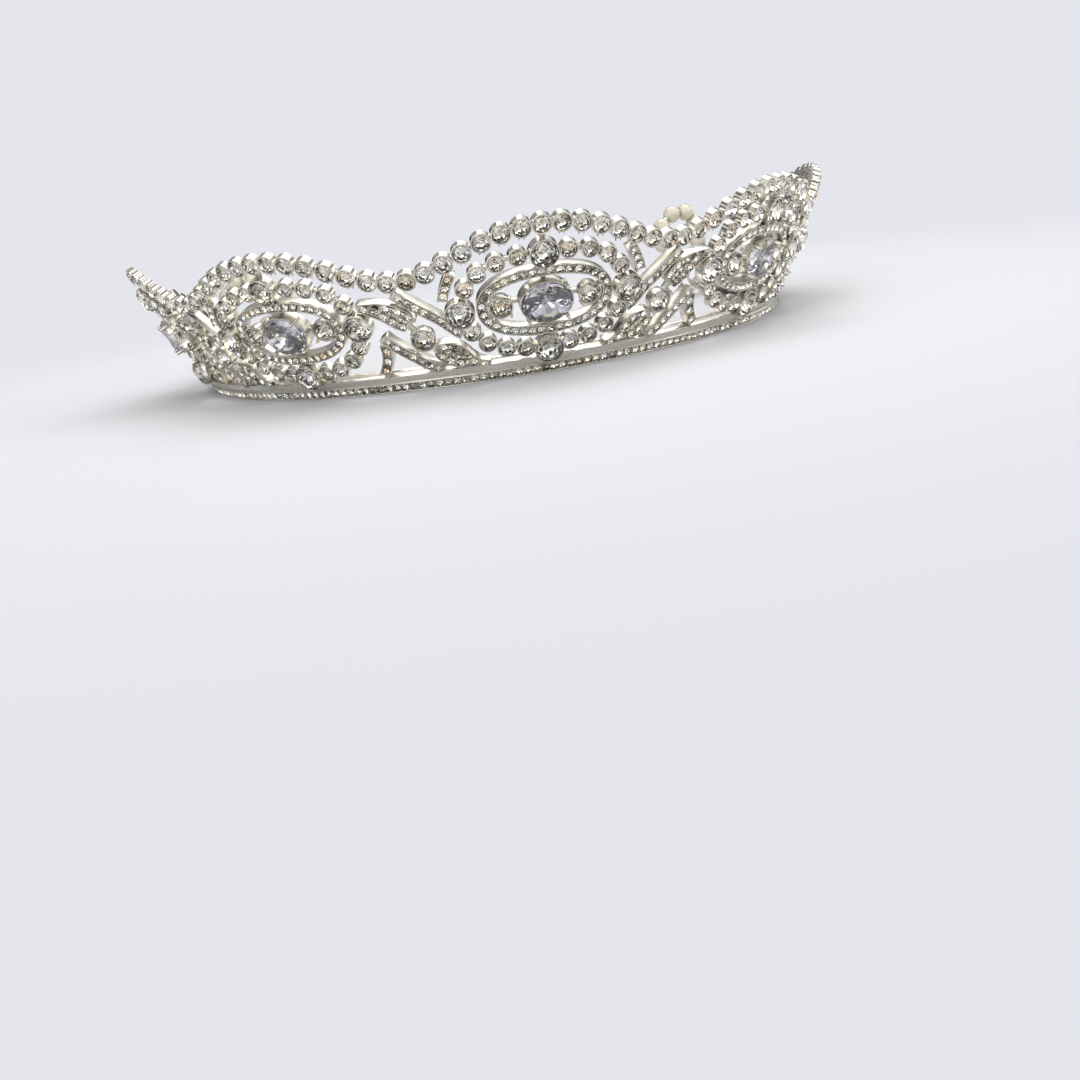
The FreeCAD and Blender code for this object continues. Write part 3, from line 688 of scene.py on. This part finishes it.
def grainPlaces(row):
    places = []
    for index, first in enumerate(row):
        for second in row[index + 1:]:
            gap = second["foot"] - first["foot"]
            if gap.length > paveGrain["near"]:
                continue
            middle = (first["foot"] + second["foot"]) / 2
            along, up, outwards = wallDirections(wallReading(middle)[0])
            across = outwards.cross(gap).normalized()
            for side in (-1, 1):
                spot = middle + across * side * paveGrain["across"]
                if all((spot - seat["foot"]).length > paveGrain["clear"] for seat in row):
                    places.append(basis(along, up, outwards, spot + outwards * paveGrain["lift"]))
    return places


leafFill = {"diameter": 1.15 * mm, "shortest": 2.1 * mm, "longest": 4.2 * mm, "clear": 1.25 * mm,
            "apart": 1.05 * mm, "above": 1.0 * mm, "below": 1.6 * mm}


def leafFillPlaces(row, leaves):
    # small stones between the large ones, only where a leaf's plate lies underneath
    spots = []
    for index, first in enumerate(row):
        for second in row[index + 1:]:
            gap = (second["foot"] - first["foot"]).length
            if not leafFill["shortest"] < gap < leafFill["longest"]:
                continue
            spot = (first["foot"] + second["foot"]) / 2
            outwards = wallDirections(wallReading(spot)[0])[2]
            start = spot + outwards * leafFill["above"]
            reach = leafFill["above"] + leafFill["below"]
            if all(leaf.ray_cast(start, -outwards, reach)[0] is None for leaf in leaves):
                continue
            if min((spot - seat["foot"]).length for seat in row) < leafFill["clear"]:
                continue
            if all((spot - other).length > leafFill["apart"] for other in spots):
                spots.append(spot)
    return [basis(*wallDirections(wallReading(spot)[0]), spot) for spot in spots]


leafMeshes = [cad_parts["leaves_" + connectorName].data for connectorName in connectorNames]
leaves = [BVHTree.FromPolygons([vertex.co for vertex in mesh.vertices],
                               [face.vertices[:] for face in mesh.polygons]) for mesh in leafMeshes]
fillPattern = cutStone("leafFillPattern", dict(paveCut, diameter=leafFill["diameter"]), crystalGlass, crystalFoil)
fillPlaces = leafFillPlaces(seats["connector_pave_stones"], leaves)
leafStones = strew(fillPattern, fillPlaces, "leafFillStones")
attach(leafStones, "tiara")
discard([fillPattern])
print("leaf fill stones set:", len(fillPlaces))

for node in ("motif_pave_stones", "connector_pave_stones"):
    grains = strew(grainPattern, grainPlaces(seats[node]), node.split("_")[0] + "PaveGrains")
    setMaterials(grains, [castPlating])
    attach(grains, "tiara")
    print(grains.name, "placed")


# the cells of the base chain: a bar between two stones and a bead at each of its ends

chainCell = {"bar": 0.09 * mm, "reach": 0.86 * mm, "height": 0.52 * mm, "crest": (0.05 * mm, 0.7, 0),
             "barSides": 8, "beadOff": 0.74 * mm}
chainBead = {"sides": 6, "radius": 0.21 * mm, "height": 0.62 * mm}
chain = seats["band_stones"]
cellGrain = grain("cellGrain", chainBead)
cellBar = startCylinder("cellBar", chainCell["barSides"], 1, 0, chainCell["height"])
raiseRings(cellBar, [chainCell["crest"]])
cellBar.data.transform(Matrix.Diagonal((chainCell["bar"], chainCell["reach"], 1, 1)))
beads, bars = [], []
for before, after in zip(chain, chain[1:]):
    middle = (before["foot"] + after["foot"]) / 2
    along, up, outwards = wallDirections((before["arc"] + after["arc"]) / 2)
    bars.append(basis(along, up, outwards, middle))
    beads += [basis(along, up, outwards, middle + up * side * chainCell["beadOff"]) for side in (-1, 1)]
cells = joined([strew(cellGrain, beads, "cellBeads"), strew(cellBar, bars, "cellBars")], "chainCells")
setMaterials(cells, [bandPlating])
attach(cells, "tiara")
discard([grainPattern, cellGrain, cellBar])
print("chain cells built")


# bead loops: drilled pearls, rondelles and the wire

pearl = {"radius": 2.5 * mm, "rings": 16, "segments": 24, "capReach": 0.4 * mm, "capBand": 0.1 * mm,
         "capSlack": 0.05 * mm, "capFlat": 0.99, "sink": 0.35 * mm, "wireReach": 3.6 * mm}
rondelle = {"radius": 1.02 * mm, "thick": 0.28 * mm, "sides": 16, "core": 0.9, "face": 0.8, "tooth": 0.09,
            "wireReach": 1.6 * mm, "edge": {"width": 0.04 * mm, "segments": 1, "angle": math.radians(35)}}


def wireDirection(centre, wireNode, reach):
    # the wire near a bead falls into two groups of points, and the thread runs from one to the other
    near = [vertex.co.copy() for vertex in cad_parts[wireNode].data.vertices
            if (vertex.co - centre).length < reach]
    far = max(near, key=lambda point: (point - near[0]).length)
    ends = [[], []]
    for point in near:
        ends[(point - far).length < (point - near[0]).length].append(point)
    first, second = [sum(group, Vector()) / len(group) for group in ends]
    return (second - first).normalized()


def threadFrame(centre, wireNode, reach):
    direction = wireDirection(centre, wireNode, reach)
    side = direction.orthogonal().normalized()
    return basis(side, direction.cross(side), direction, centre)


def drilledPearl(name):
    clearSelection()
    bpy.ops.mesh.primitive_uv_sphere_add(segments=pearl["segments"], ring_count=pearl["rings"],
                                         radius=pearl["radius"])
    piece = bpy.context.object
    piece.name = name
    polar = pearl["radius"] * math.cos(math.pi / pearl["rings"])
    capFrom = (polar + pearl["radius"]) / 2 - pearl["capBand"]
    pickFaces(piece, lambda face: abs(face.center.z) > capFrom and
              math.hypot(face.center.x, face.center.y) < pearl["capReach"])
    bpy.ops.mesh.dissolve_faces()
    bpy.ops.object.mode_set(mode="OBJECT")
    for sign in (-1, 1):
        pickFaces(piece, lambda face: face.normal.z * sign > pearl["capFlat"] and
                  abs(face.center.z) > polar - pearl["capSlack"])
        sinkFace(sign * pearl["sink"])
        bpy.ops.object.mode_set(mode="OBJECT")
    bpy.ops.object.shade_smooth_by_angle(angle=smoothing["cast"])
    return piece


def everySecondSide(face):
    turn = math.atan2(face.center.y, face.center.x) / math.tau + 1
    return abs(face.normal.z) < 1 - facing and int(turn * rondelle["sides"]) % 2 == 0


def makeRondelle(name):
    half = rondelle["thick"] / 2
    piece = startCylinder(name, rondelle["sides"], rondelle["radius"] * rondelle["core"], -half, half)
    raiseRings(piece, [(0.0, rondelle["face"], 0)])
    pickFaces(piece, everySecondSide)
    tooth = rondelle["radius"] * rondelle["tooth"]
    bpy.ops.mesh.extrude_region_shrink_fatten(TRANSFORM_OT_shrink_fatten={"value": tooth})
    bpy.ops.object.mode_set(mode="OBJECT")
    roundEdges(piece, rondelle["edge"])
    return piece


pearlPattern = drilledPearl("pearlPattern")
rondellePattern = makeRondelle("rondellePattern")
for side in ("left", "right"):
    body, wire = side + "_pearl_loop", "loop_wire_" + side
    places = [threadFrame(seat["middle"], wire, pearl["wireReach"]) for seat in seatsOf("pearls_" + side)]
    placeOnBody(strew(pearlPattern, places, "pearls." + side), body, ["pearls_" + side], [pearlNacre])
    places = [threadFrame(seat["middle"], wire, rondelle["wireReach"]) for seat in seatsOf("spacers_" + side)]
    placeOnBody(strew(rondellePattern, places, "rondelles_" + side), body,
                ["spacers_" + side], [wirePlating])
    setMaterials(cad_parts[wire], [wirePlating])
discard([pearlPattern, rondellePattern])
for node in ("rail_lower", "rail_upper"):
    setMaterials(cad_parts[node], [wirePlating])
print("bead loops threaded")


# camera, lamps, floor and room

view = {"place": (-0.04894, -0.34467, 0.03965), "turn": (74.027, 8.303, -11.08), "lens": 41.667, "sensor": 36,
        "nearest": 0.01}
bpy.ops.object.camera_add(location=view["place"], rotation=[math.radians(turn) for turn in view["turn"]])
camera = bpy.context.object
camera.data.lens = view["lens"]
camera.data.sensor_width = view["sensor"]
camera.data.clip_start = view["nearest"]
bpy.context.scene.camera = camera

lamps = {
    "windowLamp": {"place": (-0.7, -0.8, 1.1), "size": 0.7, "power": 3.2, "tint": (1.0, 0.98, 0.95)},
    "skyLamp": {"place": (0.5, 0.8, 1.2), "size": 1.1, "power": 2.2, "tint": (0.93, 0.95, 1.0)},
    "sideLamp": {"place": (1.0, -0.6, 0.5), "size": 0.4, "power": 1.2, "tint": (1.0, 0.97, 0.92)},
}
for name, lamp in lamps.items():
    bpy.ops.object.light_add(type="AREA", location=lamp["place"])
    light = bpy.context.object
    light.name = name
    light.data.size = lamp["size"]
    light.data.energy = lamp["power"]
    light.data.color = lamp["tint"]
    light.rotation_euler = (-Vector(lamp["place"])).to_track_quat("-Z", "Y").to_euler()

stageLook = {"size": 8.0, "color": (0.78, 0.79, 0.84), "matt": (0.56, 0.575, 0.62), "rough": 0.7,
             "fadeFrom": 0.11, "fadeTo": 0.27}
bpy.ops.mesh.primitive_plane_add(size=stageLook["size"], location=(0, 0, 0))
floorPiece = bpy.context.object
floorPiece.name = "paleFloor"


def makeFloorMaterial():
    # matt near the tiara, and the plain colour of the backdrop further out
    material = bpy.data.materials.new("paleFloor")
    material.use_nodes = True
    tree = material.node_tree
    shader = tree.nodes["Principled BSDF"]
    shader.inputs["Base Color"].default_value = (*stageLook["matt"], 1)
    shader.inputs["Roughness"].default_value = stageLook["rough"]
    glow = nodeIn(tree, "ShaderNodeEmission")
    glow.inputs["Color"].default_value = (*stageLook["color"], 1)
    coordinates = nodeIn(tree, "ShaderNodeTexCoord")
    far = feed(tree, nodeIn(tree, "ShaderNodeVectorMath", operation="LENGTH"), in0=coordinates.outputs["Object"])
    fade = feed(tree, nodeIn(tree, "ShaderNodeMapRange", interpolation_type="SMOOTHSTEP"),
                Value=far.outputs["Value"], From_Min=stageLook["fadeFrom"],
                From_Max=stageLook["fadeTo"], To_Min=0.0, To_Max=1.0)
    blend = feed(tree, nodeIn(tree, "ShaderNodeMixShader"), in0=fade.outputs["Result"])
    tree.links.new(shader.outputs[0], blend.inputs[1])
    tree.links.new(glow.outputs[0], blend.inputs[2])
    tree.links.new(blend.outputs[0], tree.nodes["Material Output"].inputs["Surface"])
    return material


setMaterials(floorPiece, [makeFloorMaterial()])

room = {"scale": 3.1, "skyLift": 0.18, "strength": 0.8,
        "shades": [(0.0, (0.02, 0.02, 0.022)), (0.34, (0.07, 0.065, 0.06)), (0.48, (0.38, 0.36, 0.33)),
                   (0.64, (0.80, 0.81, 0.86)), (0.82, (1.7, 1.69, 1.68)), (1.0, (4.2, 4.1, 3.9))]}


def makeRoom():
    # the lens sees the plain backdrop; metal and stones mirror a room of light and dark patches
    world = bpy.data.worlds.new("studio")
    world.use_nodes = True
    bpy.context.scene.world = world
    tree = world.node_tree
    tree.nodes.clear()
    coordinates = nodeIn(tree, "ShaderNodeTexCoord")
    patches = feed(tree, nodeIn(tree, "ShaderNodeTexVoronoi"), Vector=coordinates.outputs["Generated"],
                   Scale=room["scale"])
    pick = feed(tree, nodeIn(tree, "ShaderNodeSeparateColor"), Color=patches.outputs["Color"])
    height = feed(tree, nodeIn(tree, "ShaderNodeSeparateXYZ"), Vector=coordinates.outputs["Generated"])
    level = feed(tree, nodeIn(tree, "ShaderNodeMath", operation="MULTIPLY_ADD"),
                 in0=height.outputs["Z"], in1=room["skyLift"], in2=pick.outputs[0])
    shade = makeRamp(tree, level.outputs[0], room["shades"])
    lit = feed(tree, nodeIn(tree, "ShaderNodeBackground"), Color=shade.outputs["Color"], Strength=room["strength"])
    seen = feed(tree, nodeIn(tree, "ShaderNodeBackground"), Color=(*stageLook["color"], 1), Strength=1.0)
    path = nodeIn(tree, "ShaderNodeLightPath")
    blend = feed(tree, nodeIn(tree, "ShaderNodeMixShader"), in0=path.outputs["Is Camera Ray"])
    tree.links.new(lit.outputs[0], blend.inputs[1])
    tree.links.new(seen.outputs[0], blend.inputs[2])
    tree.links.new(blend.outputs[0], nodeIn(tree, "ShaderNodeOutputWorld").inputs["Surface"])


makeRoom()
bpy.context.scene.view_settings.view_transform = "Standard"
print("camera, lamps and room set")

clearSelection()
